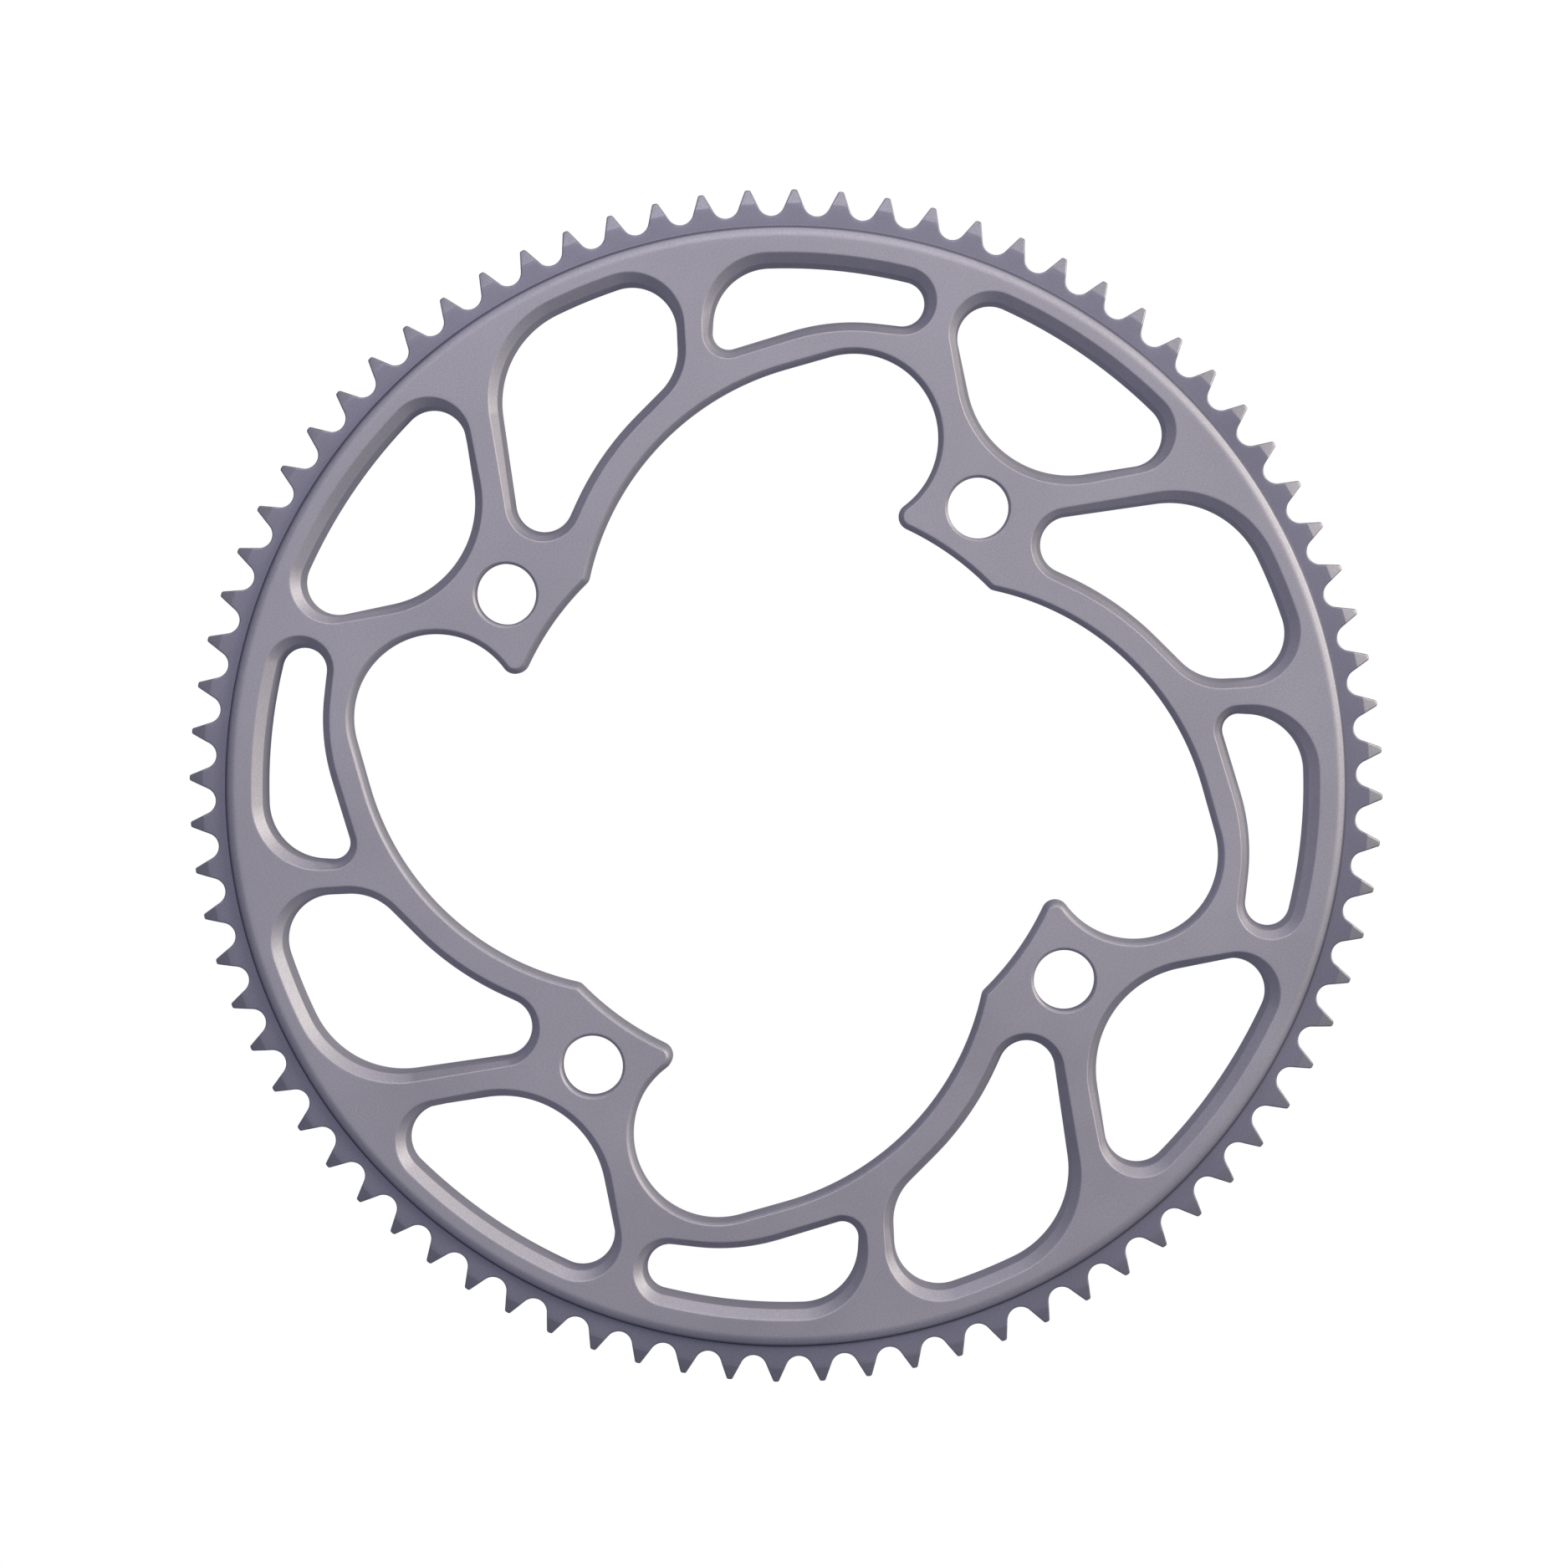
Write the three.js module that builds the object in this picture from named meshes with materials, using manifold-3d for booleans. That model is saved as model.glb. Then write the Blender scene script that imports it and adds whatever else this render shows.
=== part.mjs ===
// Rear sprocket for a small motorcycle: one plate, machined all over from a single piece of aluminium.
//
// Millimetres, +Z up. The sprocket lies flat with its axle on Z, its back face on Z = 0 and its front
// face up. +X runs through the middle of one bolt hole, which stands in line with a gap between teeth.

import * as THREE from 'three';
import * as BufferGeometryUtils from 'three/addons/utils/BufferGeometryUtils.js';
import Module from 'manifold-3d';

// The chain sets the teeth.
const toothCount = 80;
const chainPitch = 7.775;
const rollerRadius = 2.3;
const tipRadius = 101.2;
const flankAngle = THREE.MathUtils.degToRad(23);

// The plate: a thick body, a thinner tooth band in the middle of it, and a sloping step between them.
const bodyThickness = 7;
const bandThickness = 4.2;
const bodyRadius = 93.6;
const bandInnerRadius = 95;
const tipBevelStart = 98.9;
const tipBevelDepth = 0.8;

// The cuts repeat once for each bolt.
const boltCount = 4;
const boltCircleRadius = 57.5;
const boltHoleRadius = 5.15;
const boltHoleChamfer = 0.55;

// The sloping edges around every cut. An inset says how far an outline has been drawn in from the front
// edge of its cut, on the side towards the teeth, at the ends, on the side towards the axle, and around
// the middle opening.
const bevelDepth = 1.5;
const backChamfer = 0.4;
const overrun = 2;
const frontInset = { rim: 0, end: 0, hub: 0, opening: 0 };
const footInset = { rim: 1.7, end: 1.5, hub: 1.2, opening: 0.9 };
const waistInset = { rim: 2.3, end: 1.8, hub: 1.3, opening: 0.9 };
const backInset = { rim: 1.9, end: 1.4, hub: 0.9, opening: 0.5 };

// How finely round stretches are divided: the chord error is the most that a facet may cut a corner.
const chordError = 0.05;
const seatSteps = 6;
const boltHoleSegments = 32;

function polarPoint(radius, angle) {
  return new THREE.Vector2(Math.cos(angle), Math.sin(angle)).multiplyScalar(radius);
}

// A disc in an outline: its centre as a radius and an angle in degrees, and its own radius. The outline
// is a belt around the discs in turn, and a disc with a negative radius bends it the other way.
function disc(centreRadius, centreAngle, radius) {
  return { centre: polarPoint(centreRadius, THREE.MathUtils.degToRad(centreAngle)), radius };
}

// A disc about the axle, which gives an edge concentric with the teeth.
function axleDisc(radius) {
  return disc(0, 0, radius);
}

// A corner disc that touches a concentric edge from inside.
function cornerDisc(edgeRadius, angle, radius) {
  return disc(edgeRadius - radius, angle, radius);
}

// The small disc that rounds the point where two round edges cross.
function crossingDisc(first, second, radius) {
  const direction = second.centre.clone().sub(first.centre);
  const distance = direction.length();
  direction.normalize();
  const firstReach = first.radius + radius;
  const secondReach = second.radius + radius;
  const along = (distance ** 2 + firstReach ** 2 - secondReach ** 2) / (2 * distance);
  const across = Math.sqrt(firstReach ** 2 - along ** 2);
  const normal = new THREE.Vector2(direction.y, -direction.x);
  const centre = first.centre.clone().addScaledVector(direction, along).addScaledVector(normal, across);
  return { centre, radius: -radius };
}

function turnedDisc({ centre, radius }, angle) {
  return { centre: centre.clone().rotateAround(new THREE.Vector2(), angle), radius };
}

// Direction of the straight run from one disc to the next.
function tangentDirection(from, to) {
  const gap = to.centre.clone().sub(from.centre);
  const change = to.radius - from.radius;
  const run = Math.sqrt(Math.max(0, gap.lengthSq() - change ** 2));
  return Math.atan2(run * gap.y - change * gap.x, run * gap.x + change * gap.y);
}

// Points on a belt around the discs, anticlockwise. Every call with the same number of steps gives the
// same number of points, so that outlines of different widths can be joined by a sloping wall.
function beltPoints(discs, steps) {
  const count = discs.length;
  const directions = discs.map((item, index) => tangentDirection(item, discs[(index + 1) % count]));
  const points = [];
  discs.forEach((item, index) => {
    const start = directions[(index + count - 1) % count];
    const turn = beltTurn(item, start, directions[index]);
    for (let step = 0; step <= steps[index]; step += 1) {
      const heading = start + turn * step / steps[index];
      const outward = new THREE.Vector2(Math.sin(heading), -Math.cos(heading));
      points.push(item.centre.clone().addScaledVector(outward, item.radius));
    }
  });
  return points;
}

function beltTurn(item, start, end) {
  const fullTurn = 2 * Math.PI;
  const forward = THREE.MathUtils.euclideanModulo(end - start, fullTurn);
  return item.radius > 0 ? forward : forward - fullTurn;
}

function beltSteps(discs) {
  const count = discs.length;
  const directions = discs.map((item, index) => tangentDirection(item, discs[(index + 1) % count]));
  return discs.map((item, index) => {
    const turn = beltTurn(item, directions[(index + count - 1) % count], directions[index]);
    const radius = Math.abs(item.radius);
    const arcStep = 2 * Math.acos(Math.max(0, 1 - chordError / radius));
    return Math.max(1, Math.round(Math.abs(turn) / arcStep));
  });
}

// A closed solid through a stack of outlines that have the same number of points.
function loftGeometry(levels) {
  const count = levels[0].points.length;
  const positions = levels.flatMap(({ z, points }) => points.flatMap((point) => [point.x, point.y, z]));
  const indices = [];
  for (let level = 0; level + 1 < levels.length; level += 1) {
    for (let index = 0; index < count; index += 1) {
      const next = (index + 1) % count;
      const lower = level * count;
      const upper = lower + count;
      indices.push(lower + index, lower + next, upper + next);
      indices.push(lower + index, upper + next, upper + index);
    }
  }
  const top = (levels.length - 1) * count;
  THREE.ShapeUtils.triangulateShape(levels[0].points.slice(), []).forEach(([a, b, c]) => {
    indices.push(a, c, b);
  });
  THREE.ShapeUtils.triangulateShape(levels.at(-1).points.slice(), []).forEach(([a, b, c]) => {
    indices.push(top + a, top + b, top + c);
  });
  const geometry = new THREE.BufferGeometry();
  geometry.setAttribute('position', new THREE.Float32BufferAttribute(positions, 3));
  geometry.setIndex(indices);
  return geometry;
}

// A cut right through the plate: straight above the front face, sloping in below its front edge, drawn
// in a little more towards the back, and opened again by a small chamfer at the back face.
function cutGeometry(outlineDiscs) {
  const steps = beltSteps(outlineDiscs(frontInset));
  const level = (z, inset) => ({ z, points: beltPoints(outlineDiscs(inset), steps) });
  return loftGeometry([
    level(-overrun, backInset),
    level(0, backInset),
    level(backChamfer, waistInset),
    level(bodyThickness - bevelDepth, footInset),
    level(bodyThickness, frontInset),
    level(bodyThickness + overrun, frontInset),
  ]);
}

// The thin slot, between two arms and closest to the teeth.
function thinSlotDiscs(inset) {
  const rim = 90.5 - inset.rim;
  return [
    cornerDisc(rim, 21.05, 5.8 - inset.end),
    axleDisc(rim),
    cornerDisc(rim, 36.5, 11.5 - inset.end),
    disc(77.5, 41.8, 4.3 - inset.hub),
    disc(44.9, 20.05, -33.8 - inset.hub),
  ];
}

// The rounded triangle outside each bolt.
function triangleSlotDiscs(inset) {
  const rim = 91.5 - inset.rim;
  return [
    cornerDisc(rim, -9.7, 7.2 - inset.end),
    axleDisc(rim),
    cornerDisc(rim, 10.15, 7.2 - inset.end),
    disc(85.3, 0.25, 19.15 - inset.hub),
  ];
}

// The long curved slot that trails from the rim down to the bolt.
function sweptSlotDiscs(inset) {
  const rim = 91.5 - inset.rim;
  return [
    cornerDisc(rim, -36.7, 9.3 - inset.end),
    axleDisc(rim),
    cornerDisc(rim, -29.5, 18.3 - inset.end),
    disc(63.15, -14.9, 6.4 - inset.end),
    disc(29, -77.85, -49.8 - inset.hub),
    disc(79.2, -34.6, 11.3 - inset.hub),
  ];
}

// The middle opening, in four equal quarters: the seat on the wheel hub, the tip of the lug, the round
// pocket behind it, and the long arc that runs on to the heel of the next lug.
function openingDiscs(inset) {
  const hubSeat = axleDisc(49.2 - inset.opening);
  const lugTip = disc(50.6, 9.5, -1.4 - inset.opening);
  const pocket = disc(60.3, 23.55, 15.3 - inset.opening);
  const longArc = disc(28.4, 7.85, 48.1 - inset.opening);
  const quarter = 2 * Math.PI / boltCount;
  const lugHeel = crossingDisc(turnedDisc(longArc, -quarter), hubSeat, 0.8 + inset.opening);
  const quarterDiscs = [lugHeel, hubSeat, lugTip, pocket, longArc];
  return Array.from({ length: boltCount }, (_, index) => index * quarter)
    .flatMap((angle) => quarterDiscs.map((item) => turnedDisc(item, angle)));
}

// Outline of the teeth. Each roller seat has its centre on the pitch circle, and a straight flank runs
// from either end of the seat up to a tip. A gap, not a tooth, stands on +X.
function toothOutline() {
  const halfPitch = Math.PI / toothCount;
  const pitchRadius = chainPitch / (2 * Math.sin(halfPitch));
  const seatReach = Math.PI / 2 - flankAngle - halfPitch;
  const flankDistance = pitchRadius * Math.sin(flankAngle + halfPitch) - rollerRadius;
  const tipHalfAngle = Math.PI / 2 - flankAngle - Math.acos(flankDistance / tipRadius);
  const points = [];
  for (let tooth = 0; tooth < toothCount; tooth += 1) {
    const gapAngle = 2 * halfPitch * tooth;
    const toothAngle = gapAngle + halfPitch;
    for (let step = 0; step <= seatSteps; step += 1) {
      const heading = gapAngle + Math.PI + seatReach * (1 - 2 * step / seatSteps);
      points.push(polarPoint(pitchRadius, gapAngle).add(polarPoint(rollerRadius, heading)));
    }
    points.push(polarPoint(tipRadius, toothAngle - tipHalfAngle));
    points.push(polarPoint(tipRadius, toothAngle + tipHalfAngle));
  }
  return points;
}

// Half of the turned blank's profile, as [radius, height], from the back of the axle to its front.
function blankProfile() {
  const bandBack = (bodyThickness - bandThickness) / 2;
  const bandFront = bandBack + bandThickness;
  const outerRadius = tipRadius + overrun;
  const bevelRun = outerRadius - tipBevelStart;
  const outerDepth = tipBevelDepth * bevelRun / (tipRadius - tipBevelStart);
  return [
    [0, 0],
    [bodyRadius, 0],
    [bandInnerRadius, bandBack],
    [tipBevelStart, bandBack],
    [outerRadius, bandBack + outerDepth],
    [outerRadius, bandFront - outerDepth],
    [tipBevelStart, bandFront],
    [bandInnerRadius, bandFront],
    [bodyRadius, bodyThickness],
    [0, bodyThickness],
  ];
}

function boltHoleProfile() {
  const mouthRadius = boltHoleRadius + boltHoleChamfer;
  return [
    [0, -overrun],
    [mouthRadius, -overrun],
    [mouthRadius, 0],
    [boltHoleRadius, boltHoleChamfer],
    [boltHoleRadius, bodyThickness - boltHoleChamfer],
    [mouthRadius, bodyThickness],
    [mouthRadius, bodyThickness + overrun],
    [0, bodyThickness + overrun],
  ];
}

// Turns a profile about Z. One of its facet edges lies on +X.
function turnedGeometry(profile, segments) {
  const points = profile.map(([radius, height]) => new THREE.Vector2(radius, height));
  return new THREE.LatheGeometry(points, segments).rotateX(Math.PI / 2);
}

function toothedGeometry() {
  const shape = new THREE.Shape(toothOutline());
  const depth = bodyThickness + 2 * overrun;
  return new THREE.ExtrudeGeometry(shape, { depth, bevelEnabled: false }).translate(0, 0, -overrun);
}

// Every cut in one quarter of the plate, apart from the middle opening.
function quarterCuts() {
  const boltHole = turnedGeometry(boltHoleProfile(), boltHoleSegments).translate(boltCircleRadius, 0, 0);
  const slots = [thinSlotDiscs, triangleSlotDiscs, sweptSlotDiscs].map(cutGeometry);
  return [boltHole, ...slots];
}

const wasm = await Module();
wasm.setup();

// Makes a solid of a closed geometry. Triangles that shrink to nothing where two points of an outline
// meet are left out.
function toSolid(geometry) {
  const bare = geometry.clone();
  bare.deleteAttribute('normal');
  bare.deleteAttribute('uv');
  const merged = BufferGeometryUtils.mergeVertices(bare, 1e-4);
  const corners = [];
  for (let index = 0; index < merged.index.count; index += 3) {
    const [a, b, c] = merged.index.array.slice(index, index + 3);
    if (a !== b && b !== c && c !== a) corners.push(a, b, c);
  }
  const vertProperties = new Float32Array(merged.attributes.position.array);
  const triVerts = new Uint32Array(corners);
  return new wasm.Manifold(new wasm.Mesh({ numProp: 3, vertProperties, triVerts }));
}

function toGeometry(solid) {
  const { vertProperties, triVerts } = solid.getMesh();
  const geometry = new THREE.BufferGeometry();
  geometry.setAttribute('position', new THREE.BufferAttribute(vertProperties, 3));
  geometry.setIndex(new THREE.BufferAttribute(triVerts, 1));
  return geometry;
}

// The turned blank, trimmed to the teeth, with every cut taken out of it.
function sprocketGeometry() {
  const blank = toSolid(turnedGeometry(blankProfile(), toothCount));
  let plate = blank.intersect(toSolid(toothedGeometry()));
  plate = plate.subtract(toSolid(cutGeometry(openingDiscs)));
  quarterCuts().forEach((cut) => {
    for (let bolt = 0; bolt < boltCount; bolt += 1) {
      const placed = cut.clone().rotateZ(2 * Math.PI * bolt / boltCount);
      plate = plate.subtract(toSolid(placed));
    }
  });
  return toGeometry(plate);
}

const anodisedAluminium = new THREE.MeshStandardMaterial({
  color: 0x8d8894,
  roughness: 0.55,
  metalness: 0.7,
});

const sprocket = new THREE.Mesh(sprocketGeometry(), anodisedAluminium);
sprocket.name = 'sprocket';

const rearSprocket = new THREE.Group();
rearSprocket.add(sprocket);

export default rearSprocket;
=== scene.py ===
import cmath
import math

import bmesh
import bpy
import numpy as np
from mathutils import Matrix, Vector


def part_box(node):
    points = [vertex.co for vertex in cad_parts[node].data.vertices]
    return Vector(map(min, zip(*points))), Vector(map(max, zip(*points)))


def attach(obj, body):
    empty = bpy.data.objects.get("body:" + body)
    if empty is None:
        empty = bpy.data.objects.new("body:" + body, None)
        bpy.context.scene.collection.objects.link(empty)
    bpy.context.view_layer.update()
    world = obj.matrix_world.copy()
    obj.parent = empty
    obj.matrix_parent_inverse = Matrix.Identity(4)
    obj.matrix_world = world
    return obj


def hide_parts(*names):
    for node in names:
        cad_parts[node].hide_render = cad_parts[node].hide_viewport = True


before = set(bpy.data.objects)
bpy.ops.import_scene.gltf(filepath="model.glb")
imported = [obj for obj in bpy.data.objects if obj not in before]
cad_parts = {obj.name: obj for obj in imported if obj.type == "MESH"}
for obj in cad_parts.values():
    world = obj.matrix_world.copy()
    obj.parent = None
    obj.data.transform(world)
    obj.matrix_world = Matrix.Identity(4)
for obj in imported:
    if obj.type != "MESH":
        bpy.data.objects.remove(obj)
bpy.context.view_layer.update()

mm = 0.001
weldDistance = 0.002 * mm
cadLow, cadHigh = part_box("sprocket")
thickness = (cadHigh.z - cadLow.z) / mm

# the plate and its teeth, in millimetres and degrees
plate = {
    "name": "rearSprocket",
    "slot": "anodised_aluminium",
    "toothCount": 80,
    "chainPitch": 7.775,
    "rollerRadius": 2.3,
    "tipRadius": 101.2,
    "flankAngle": 23,
    "bodyRadius": 93.6,
    "shoulderDrop": 0.5,    # how far the body's rounded rim falls before the steep step
    "stepWidth": 0.3,       # how far the steep step runs out on its way down
    "stepInnerFlat": 0.8,   # flat strips kept on both sides of the step
    "stepOuterFlat": 0.4,
    "stepRounding": [(0.5, 0.35), (0.25, 0.2), (0.1, 0.3)],
    "bandInnerRadius": 95,
    "bandThickness": 4.2,
    "tipBevelStart": 98.9,
    "tipBevelSlope": 0.8 / 2.3,
    "creaseWidth": 0.24,    # the narrow strip where the tip bevel begins
    "toothEdge": 0.26,      # how far the rounded edge of a tooth reaches in
    "tipRounding": 0.24,
    "tipFlatShare": 0.35,   # the part of a tooth's crown that its rounded corners leave flat
    "faceMargin": 0.36,     # flat strip kept around every cut, so the big faces shade flat
    "seatSteps": 8,
    "tipSteps": 3,
    "stepColumns": 6,       # columns of the step in one tooth's sector
    "roundSteps": 3,        # facets in a rounded edge
    "softBend": 9,          # an edge that bends by less isn't marked as worn or hollow
    "bendSpan": 6,
}

# the cuts, which repeat once for each bolt
cuts = {
    "count": 4,
    "boltCircleRadius": 57.5,
    "boltHoleRadius": 5.15,
    "boltHoleChamfer": 0.4,
    "boltHoleSegments": 96,
    "shoulderDepth": 0.5,
    "bevelDepth": 1.5,
    "backChamfer": 0.4,
    "wallRounding": [(0.45, 0.22), (0.3, 0.15), (0.1, 0.05), (0.03, 0.3), (0.3, 0.4)],
    "holeRounding": [(0.35, 0.18), (0.18, 0.03), (0.03, 0.18), (0.18, 0.35)],
    "chordError": 0.005,
    # how far an outline is drawn in from the front edge: towards the teeth, at the ends,
    # towards the axle, and around the middle opening
    "shoulder": {"rim": 0.62, "end": 0.45, "hub": 0.3, "opening": 0.45},
    "foot": {"rim": 1.85, "end": 1.35, "hub": 0.95, "opening": 0.9},
    "waist": {"rim": 2.55, "end": 1.75, "hub": 1.6, "opening": 0.92},
    "back": {"rim": 2.15, "end": 1.35, "hub": 1.2, "opening": 0.5},
}
sides = ("rim", "end", "hub", "opening")

# the outlines: a corner disc has its angle from the bolt and its radius, and touches the rim
# side; every other disc has its distance from the axle, its angle and its radius
thinDiscs = {
    "rimSide": 90.5,
    "narrowEnd": (21.05, 5.8),
    "wideEnd": (36.5, 11.5),
    "hubCorner": (77.5, 41.8, 4.3),
    "hubSide": (44.9, 20.05, -33.8),
}
triangleDiscs = {
    "rimSide": 91.5,
    "firstCorner": (-9.7, 7.2),
    "secondCorner": (10.15, 7.2),
    "hubSide": (85.3, 0.25, 19.15),
}
sweptDiscs = {
    "rimSide": 91.5,
    "rimCorner": (-36.7, 9.3),
    "armCorner": (-29.5, 18.3),
    "boltEnd": (63.15, -14.9, 6.4),
    "hubSide": (29, -77.85, -49.8),
    "hubCorner": (79.2, -34.6, 11.3),
}
openingDiscs = {
    "hubSeat": (0, 0, 49.2),
    "heelRounding": 0.8,
    "tip": (50.6, 9.5, -1.4),
    "pocket": (60.3, 23.55, 15.23),
    "longArc": (28.4, 7.85, 48.1),
}


# an outline is a belt around discs, each a centre on the complex plane and a radius;
# a negative radius bends the belt the other way
def disc(centreRadius, centreAngle, radius):
    return cmath.rect(centreRadius, math.radians(centreAngle)), radius


def insetDisc(place, inset):
    centreRadius, centreAngle, radius = place
    return disc(centreRadius, centreAngle, radius - inset)


def cornerDisc(edgeRadius, place, inset):
    angle, radius = place
    return disc(edgeRadius - (radius - inset), angle, radius - inset)


def turnedDisc(item, angle):
    return item[0] * cmath.rect(1, angle), item[1]


# the small disc that rounds the point where two round edges cross
def crossingDisc(first, second, radius):
    gap = second[0] - first[0]
    distance = abs(gap)
    firstReach = first[1] + radius
    secondReach = second[1] + radius
    along = (distance ** 2 + firstReach ** 2 - secondReach ** 2) / (2 * distance)
    across = math.sqrt(firstReach ** 2 - along ** 2)
    return first[0] + gap / distance * complex(along, -across), -radius


def tangentHeading(first, second):
    gap = second[0] - first[0]
    change = second[1] - first[1]
    run = math.sqrt(max(0, abs(gap) ** 2 - change ** 2))
    return cmath.phase(gap * complex(run, -change))


# the arc of each disc that the belt touches: its disc, first heading and turn
def beltArcs(discs):
    following = discs[1:] + discs[:1]
    headings = [tangentHeading(item, after) for item, after in zip(discs, following)]
    arcs = []
    for index, item in enumerate(discs):
        turn = (headings[index] - headings[index - 1]) % (2 * math.pi)
        if item[1] < 0:
            turn -= 2 * math.pi
        arcs.append((item, headings[index - 1], turn))
    return arcs


def beltSteps(discs):
    steps = []
    for item, heading, turn in beltArcs(discs):
        facet = 2 * math.acos(max(0, 1 - cuts["chordError"] / abs(item[1])))
        steps.append(max(2, round(abs(turn) / facet)))
    return steps


def beltPoints(discs, steps):
    points = []
    for (item, heading, turn), count in zip(beltArcs(discs), steps):
        for step in range(count + 1):
            outward = -1j * cmath.rect(1, heading + turn * step / count)
            points.append(item[0] + outward * item[1])
    return points


# the thin slot, closest to the teeth
def thinSlot(inset):
    rim = thinDiscs["rimSide"] - inset["rim"]
    # keeps the narrow end between the rim side and the hub side, at every level
    narrowInset = (inset["rim"] + inset["hub"]) / 2
    return [
        cornerDisc(rim, thinDiscs["narrowEnd"], narrowInset),
        disc(0, 0, rim),
        cornerDisc(rim, thinDiscs["wideEnd"], inset["end"]),
        insetDisc(thinDiscs["hubCorner"], inset["hub"]),
        insetDisc(thinDiscs["hubSide"], inset["hub"]),
    ]


# the rounded triangle outside each bolt
def triangleSlot(inset):
    rim = triangleDiscs["rimSide"] - inset["rim"]
    return [
        cornerDisc(rim, triangleDiscs["firstCorner"], inset["end"]),
        disc(0, 0, rim),
        cornerDisc(rim, triangleDiscs["secondCorner"], inset["end"]),
        insetDisc(triangleDiscs["hubSide"], inset["hub"]),
    ]


# the long slot that trails from the rim down to the bolt
def sweptSlot(inset):
    rim = sweptDiscs["rimSide"] - inset["rim"]
    return [
        cornerDisc(rim, sweptDiscs["rimCorner"], inset["end"]),
        disc(0, 0, rim),
        cornerDisc(rim, sweptDiscs["armCorner"], inset["end"]),
        insetDisc(sweptDiscs["boltEnd"], inset["hub"]),
        insetDisc(sweptDiscs["hubSide"], inset["hub"]),
        insetDisc(sweptDiscs["hubCorner"], inset["hub"]),
    ]


# the middle opening: heel of the lug, seat on the wheel hub, tip, pocket and long arc
def middleOpening(inset):
    quarter = 2 * math.pi / cuts["count"]
    hubSeat = insetDisc(openingDiscs["hubSeat"], inset["opening"])
    longArc = insetDisc(openingDiscs["longArc"], inset["opening"])
    heelRadius = openingDiscs["heelRounding"] + inset["opening"]
    lug = [
        crossingDisc(turnedDisc(longArc, -quarter), hubSeat, heelRadius),
        hubSeat,
        insetDisc(openingDiscs["tip"], inset["opening"]),
        insetDisc(openingDiscs["pocket"], inset["opening"]),
        longArc,
    ]
    return [turnedDisc(item, quarter * index) for index in range(cuts["count"]) for item in lug]


# a path in any number of dimensions, with each inner corner replaced by a short curve that
# starts and ends the given shares of the way along its two sides
def roundedPath(corners, shares, steps):
    corners = [np.array(corner, float) for corner in corners]
    path = [corners[0]]
    for before, corner, after, (behind, ahead) in zip(corners, corners[1:], corners[2:], shares):
        start = corner + (before - corner) * behind
        end = corner + (after - corner) * ahead
        for step in range(steps + 1):
            along = step / steps
            path.append((1 - along) ** 2 * start + 2 * along * (1 - along) * corner + along ** 2 * end)
    path.append(corners[-1])
    return path


# rings of points joined by quads; returns the rows of vertices
def addWall(bm, rings, closed):
    rows = []
    for ring in rings:
        rows.append([bm.verts.new((x * mm, y * mm, z * mm)) for x, y, z in ring])
    count = len(rows[0])
    for upper, lower in zip(rows, rows[1:]):
        for index in range(count if closed else count - 1):
            following = (index + 1) % count
            bm.faces.new((upper[index], upper[following], lower[following], lower[index]))
    return rows


# heights and insets down the wall of a cut, from the front face to the back face
def cutLevels():
    margin = plate["faceMargin"]
    corners = [
        [thickness] + [-margin] * len(sides),
        [thickness] + [0] * len(sides),
        [thickness - cuts["shoulderDepth"]] + [cuts["shoulder"][side] for side in sides],
        [thickness - cuts["bevelDepth"]] + [cuts["foot"][side] for side in sides],
        [cuts["backChamfer"]] + [cuts["waist"][side] for side in sides],
        [0] + [cuts["back"][side] for side in sides],
        [0] + [cuts["back"][side] - margin for side in sides],
    ]
    levels = []
    for row in roundedPath(corners, cuts["wallRounding"], plate["roundSteps"]):
        levels.append((row[0], dict(zip(sides, row[1:]))))
    return levels


def cutRings(outline):
    steps = beltSteps(outline(dict.fromkeys(sides, 0)))
    rings = []
    for height, inset in cutLevels():
        rings.append([(point.real, point.imag, height) for point in beltPoints(outline(inset), steps)])
    return rings


def boltHoleRings():
    wall = cuts["boltHoleRadius"]
    chamfer = cuts["boltHoleChamfer"]
    mouth = wall + chamfer
    corners = [
        (mouth + plate["faceMargin"], thickness),
        (mouth, thickness),
        (wall, thickness - chamfer),
        (wall, chamfer),
        (mouth, 0),
        (mouth + plate["faceMargin"], 0),
    ]
    count = cuts["boltHoleSegments"]
    rings = []
    for radius, height in roundedPath(corners, cuts["holeRounding"], plate["roundSteps"]):
        circle = [cmath.rect(radius, 2 * math.pi * index / count) for index in range(count)]
        rings.append([(cuts["boltCircleRadius"] + point.real, point.imag, height) for point in circle])
    return rings


# the walls of every cut in one quarter
def quarterCuts():
    bm = bmesh.new()
    addWall(bm, boltHoleRings(), True)
    for outline in (thinSlot, triangleSlot, sweptSlot):
        addWall(bm, cutRings(outline), True)
    opening = cutRings(middleOpening)
    quarterCount = len(opening[0]) // cuts["count"]
    addWall(bm, [ring[:quarterCount + 1] for ring in opening], False)
    return bm


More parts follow.
